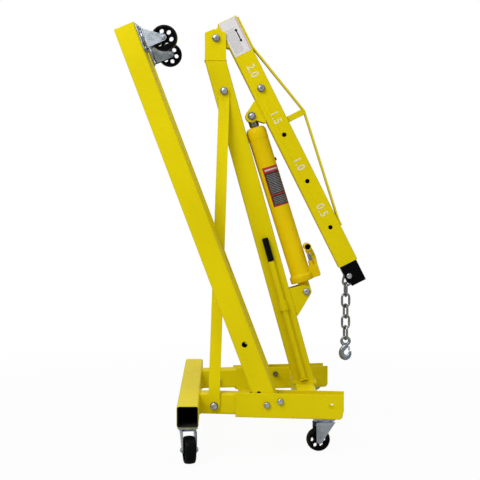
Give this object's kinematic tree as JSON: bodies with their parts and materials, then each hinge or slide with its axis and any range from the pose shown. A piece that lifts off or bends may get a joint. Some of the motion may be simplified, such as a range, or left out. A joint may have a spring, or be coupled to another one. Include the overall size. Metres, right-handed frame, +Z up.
{
  "type": "folding engine hoist crane",
  "caption": "Folding floor crane, legs folded up: leaning mast, trussed boom with telescopic extension, hydraulic ram, chain with hook, splayed base on swivel casters.",
  "frame": {"origin": "on the floor, under the middle of the part's overall box", "axes": "+X to the front, where the boom and the lowered legs point; +Y to the left; +Z up"},
  "size_m": [0.8468, 1.0074, 1.4345],
  "materials": {
    "rear_cross_tube": "yellow powder coat",
    "base_stub_right": "yellow powder coat",
    "base_stub_left": "yellow powder coat",
    "leg_socket_right": "yellow powder coat",
    "leg_socket_left": "yellow powder coat",
    "mast_crossmember": "yellow powder coat",
    "mast": "yellow powder coat",
    "mast_head": "yellow powder coat",
    "brace_right": "yellow powder coat",
    "brace_left": "yellow powder coat",
    "ram_foot_bracket": "yellow powder coat",
    "boom_pivot_bolt": "zinc plated",
    "brace_top_bolt": "zinc plated",
    "brace_foot_bolt_right": "zinc plated",
    "brace_foot_bolt_left": "zinc plated",
    "leg_pivot_bolt_right": "zinc plated",
    "leg_pivot_bolt_left": "zinc plated",
    "leg_lock_bolt_right": "zinc plated",
    "leg_lock_bolt_left": "zinc plated",
    "ram_foot_bolt": "zinc plated",
    "rear_caster_plate_right": "zinc plated",
    "rear_caster_plate_left": "zinc plated",
    "socket_caster_plate_right": "zinc plated",
    "socket_caster_plate_left": "zinc plated",
    "boom_tube": "yellow powder coat",
    "boom_ram_bracket": "yellow powder coat",
    "boom_truss": "yellow powder coat",
    "boom_lock_bolt": "zinc plated",
    "boom_extension": "satin black paint",
    "chain_bolt": "zinc plated",
    "chain_link_1": "zinc plated",
    "chain_link_2": "zinc plated",
    "chain_link_3": "zinc plated",
    "chain_link_4": "zinc plated",
    "chain_link_5": "zinc plated",
    "chain_link_6": "zinc plated",
    "hook": "zinc plated",
    "hook_latch": "zinc plated",
    "ram_cylinder": "gloss deep yellow paint",
    "ram_rod": "zinc plated",
    "pump_lever": "gloss deep yellow paint",
    "pump_plunger": "zinc plated",
    "pump_handle": "yellow powder coat",
    "handle_grip": "matt black moulded",
    "leg_right": "yellow powder coat",
    "leg_caster_plate_right": "zinc plated",
    "leg_caster_fork_right": "zinc plated",
    "leg_caster_wheel_right": "matt black moulded",
    "rear_caster_fork_right": "zinc plated",
    "rear_caster_wheel_right": "matt black moulded",
    "socket_caster_fork_right": "zinc plated",
    "socket_caster_wheel_right": "matt black moulded",
    "leg_left": "yellow powder coat",
    "leg_caster_plate_left": "zinc plated",
    "leg_caster_fork_left": "zinc plated",
    "leg_caster_wheel_left": "matt black moulded",
    "rear_caster_fork_left": "zinc plated",
    "rear_caster_wheel_left": "matt black moulded",
    "socket_caster_fork_left": "zinc plated",
    "socket_caster_wheel_left": "matt black moulded"
  },
  "bodies": {
    "base": {"rear_cross_tube": "rear_cross_tube", "base_stub_right": "base_stub_right", "base_stub_left": "base_stub_left", "leg_socket_right": "leg_socket_right", "leg_socket_left": "leg_socket_left", "mast_crossmember": "mast_crossmember", "mast": "mast", "mast_head": "mast_head", "brace_right": "brace_right", "brace_left": "brace_left", "ram_foot_bracket": "ram_foot_bracket", "boom_pivot_bolt": "boom_pivot_bolt", "brace_top_bolt": "brace_top_bolt", "brace_foot_bolt_right": "brace_foot_bolt_right", "brace_foot_bolt_left": "brace_foot_bolt_left", "leg_pivot_bolt_right": "leg_pivot_bolt_right", "leg_pivot_bolt_left": "leg_pivot_bolt_left", "leg_lock_bolt_right": "leg_lock_bolt_right", "leg_lock_bolt_left": "leg_lock_bolt_left", "ram_foot_bolt": "ram_foot_bolt", "rear_caster_plate_right": "rear_caster_plate_right", "rear_caster_plate_left": "rear_caster_plate_left", "socket_caster_plate_right": "socket_caster_plate_right", "socket_caster_plate_left": "socket_caster_plate_left"},
    "boom": {"boom_tube": "boom_tube", "boom_ram_bracket": "boom_ram_bracket", "boom_truss": "boom_truss", "boom_lock_bolt": "boom_lock_bolt"},
    "extension": {"boom_extension": "boom_extension", "chain_bolt": "chain_bolt"},
    "link_1": {"chain_link_1": "chain_link_1"},
    "link_2": {"chain_link_2": "chain_link_2"},
    "link_3": {"chain_link_3": "chain_link_3"},
    "link_4": {"chain_link_4": "chain_link_4"},
    "link_5": {"chain_link_5": "chain_link_5"},
    "link_6": {"chain_link_6": "chain_link_6"},
    "hook": {"hook": "hook"},
    "latch": {"hook_latch": "hook_latch"},
    "ram": {"ram_cylinder": "ram_cylinder"},
    "rod": {"ram_rod": "ram_rod"},
    "lever": {"pump_lever": "pump_lever"},
    "plunger": {"pump_plunger": "pump_plunger"},
    "handle": {"pump_handle": "pump_handle", "handle_grip": "handle_grip"},
    "leg_right": {"leg_right": "leg_right", "leg_caster_plate_right": "leg_caster_plate_right"},
    "leg_caster_fork_right": {"leg_caster_fork_right": "leg_caster_fork_right"},
    "leg_caster_wheel_right": {"leg_caster_wheel_right": "leg_caster_wheel_right"},
    "rear_caster_fork_right": {"rear_caster_fork_right": "rear_caster_fork_right"},
    "rear_caster_wheel_right": {"rear_caster_wheel_right": "rear_caster_wheel_right"},
    "socket_caster_fork_right": {"socket_caster_fork_right": "socket_caster_fork_right"},
    "socket_caster_wheel_right": {"socket_caster_wheel_right": "socket_caster_wheel_right"},
    "leg_left": {"leg_left": "leg_left", "leg_caster_plate_left": "leg_caster_plate_left"},
    "leg_caster_fork_left": {"leg_caster_fork_left": "leg_caster_fork_left"},
    "leg_caster_wheel_left": {"leg_caster_wheel_left": "leg_caster_wheel_left"},
    "rear_caster_fork_left": {"rear_caster_fork_left": "rear_caster_fork_left"},
    "rear_caster_wheel_left": {"rear_caster_wheel_left": "rear_caster_wheel_left"},
    "socket_caster_fork_left": {"socket_caster_fork_left": "socket_caster_fork_left"},
    "socket_caster_wheel_left": {"socket_caster_wheel_left": "socket_caster_wheel_left"}
  },
  "joints": [
    {"name": "boom_lift", "type": "hinge", "parent": "base", "child": "boom", "pos_m": [-0.09366, 0, 1.3555], "axis": [0, -1, 0], "range_deg": [0, 85]},
    {"name": "ram_tilt", "type": "hinge", "parent": "base", "child": "ram", "pos_m": [0.21674, 0, 0.4903], "axis": [0, 1, 0], "range_deg": [0, 15.38]},
    {"name": "ram_stroke", "type": "slide", "parent": "ram", "child": "rod", "axis": [-0.299, 0, 0.9543], "range_m": [0, 0.33575]},
    {"name": "boom_extend", "type": "slide", "parent": "boom", "child": "extension", "axis": [0.4493, 0, -0.8934], "range_m": [0, 0.5325]},
    {"name": "chain_hang", "type": "hinge", "parent": "extension", "child": "link_1", "pos_m": [0.36437, 0, 0.54319], "axis": [0, -1, 0], "range_deg": [-85, 0]},
    {"name": "chain_swing_2", "type": "hinge", "parent": "link_1", "child": "link_2", "pos_m": [0.35573, 0, 0.50855], "axis": [1, 0, 0], "range_deg": [-20, 20]},
    {"name": "chain_swing_3", "type": "hinge", "parent": "link_2", "child": "link_3", "pos_m": [0.35573, 0, 0.47125], "axis": [0, 1, 0], "range_deg": [-20, 20]},
    {"name": "chain_swing_4", "type": "hinge", "parent": "link_3", "child": "link_4", "pos_m": [0.35573, 0, 0.43355], "axis": [1, 0, 0], "range_deg": [-20, 20]},
    {"name": "chain_swing_5", "type": "hinge", "parent": "link_4", "child": "link_5", "pos_m": [0.35573, 0, 0.39585], "axis": [0, 1, 0], "range_deg": [-20, 20]},
    {"name": "chain_swing_6", "type": "hinge", "parent": "link_5", "child": "link_6", "pos_m": [0.35573, 0, 0.35814], "axis": [1, 0, 0], "range_deg": [-20, 20]},
    {"name": "hook_swing", "type": "hinge", "parent": "link_6", "child": "hook", "pos_m": [0.35573, 0, 0.32044], "axis": [0, 1, 0], "range_deg": [-25, 25]},
    {"name": "latch_open", "type": "hinge", "parent": "hook", "child": "latch", "pos_m": [0.36823, 0, 0.29374], "axis": [0, 1, 0], "range_deg": [0, 35], "stiffness_Nm_per_rad": 0.02, "springref_deg": -11.46},
    {"name": "leg_fold_right", "type": "hinge", "parent": "base", "child": "leg_right", "pos_m": [0.07497, -0.26518, 0.149], "axis": [0.1478, 0.989, 0], "range_deg": [0, 111]},
    {"name": "leg_caster_swivel_right", "type": "hinge", "parent": "leg_right", "child": "leg_caster_fork_right", "pos_m": [-0.33575, -0.2038, 1.32852], "axis": [-0.9233, 0.138, -0.3584], "continuous": true},
    {"name": "leg_caster_roll_right", "type": "hinge", "parent": "leg_caster_fork_right", "child": "leg_caster_wheel_right", "pos_m": [-0.26062, -0.21503, 1.32876], "axis": [0.1478, 0.989, 0], "continuous": true},
    {"name": "rear_caster_swivel_right", "type": "hinge", "parent": "base", "child": "rear_caster_fork_right", "pos_m": [-0.18056, -0.435, 0.114], "axis": [0, 0, 1], "continuous": true},
    {"name": "rear_caster_roll_right", "type": "hinge", "parent": "rear_caster_fork_right", "child": "rear_caster_wheel_right", "pos_m": [-0.17587, -0.46159, 0.043], "axis": [-0.9848, -0.1736, 0], "continuous": true},
    {"name": "socket_caster_swivel_right", "type": "hinge", "parent": "base", "child": "socket_caster_fork_right", "pos_m": [0.25547, -0.29216, 0.107], "axis": [0, 0, 1], "continuous": true},
    {"name": "socket_caster_roll_right", "type": "hinge", "parent": "socket_caster_fork_right", "child": "socket_caster_wheel_right", "pos_m": [0.23395, -0.29673, 0.0375], "axis": [-0.2079, 0.9781, 0], "continuous": true},
    {"name": "leg_fold_left", "type": "hinge", "parent": "base", "child": "leg_left", "pos_m": [0.07497, 0.26518, 0.149], "axis": [-0.1478, 0.989, 0], "range_deg": [0, 111]},
    {"name": "leg_caster_swivel_left", "type": "hinge", "parent": "leg_left", "child": "leg_caster_fork_left", "pos_m": [-0.33575, 0.2038, 1.32852], "axis": [-0.9233, -0.138, -0.3584], "continuous": true},
    {"name": "leg_caster_roll_left", "type": "hinge", "parent": "leg_caster_fork_left", "child": "leg_caster_wheel_left", "pos_m": [-0.26062, 0.21503, 1.32876], "axis": [-0.1478, 0.989, 0], "continuous": true},
    {"name": "rear_caster_swivel_left", "type": "hinge", "parent": "base", "child": "rear_caster_fork_left", "pos_m": [-0.18056, 0.435, 0.114], "axis": [0, 0, 1], "continuous": true},
    {"name": "rear_caster_roll_left", "type": "hinge", "parent": "rear_caster_fork_left", "child": "rear_caster_wheel_left", "pos_m": [-0.17587, 0.46159, 0.043], "axis": [0.9848, -0.1736, 0], "continuous": true},
    {"name": "socket_caster_swivel_left", "type": "hinge", "parent": "base", "child": "socket_caster_fork_left", "pos_m": [0.25547, 0.29216, 0.107], "axis": [0, 0, 1], "continuous": true},
    {"name": "socket_caster_roll_left", "type": "hinge", "parent": "socket_caster_fork_left", "child": "socket_caster_wheel_left", "pos_m": [0.23395, 0.29673, 0.0375], "axis": [0.2079, 0.9781, 0], "continuous": true},
    {"name": "pump_lever_swing", "type": "hinge", "parent": "ram", "child": "lever", "pos_m": [0.24385, 0, 0.60778], "axis": [0, 1, 0], "range_deg": [0, 30]},
    {"name": "pump_plunger_slide", "type": "slide", "parent": "ram", "child": "plunger", "axis": [-0.299, 0, 0.9543], "range_m": [0, 0.0075]},
    {"name": "handle_lift", "type": "slide", "parent": "base", "child": "handle", "axis": [-0.2672, 0, 0.9636], "range_m": [0, 0.29]}
  ],
  "couplings": [
    {"joint": "ram_tilt", "follows": "boom_lift", "ratio": 0.17855},
    {"joint": "ram_stroke", "follows": "boom_lift", "m_per_rad": 0.22497},
    {"joint": "chain_hang", "follows": "boom_lift", "ratio": -1},
    {"joint": "pump_plunger_slide", "follows": "pump_lever_swing", "m_per_rad": 0.013369}
  ]
}
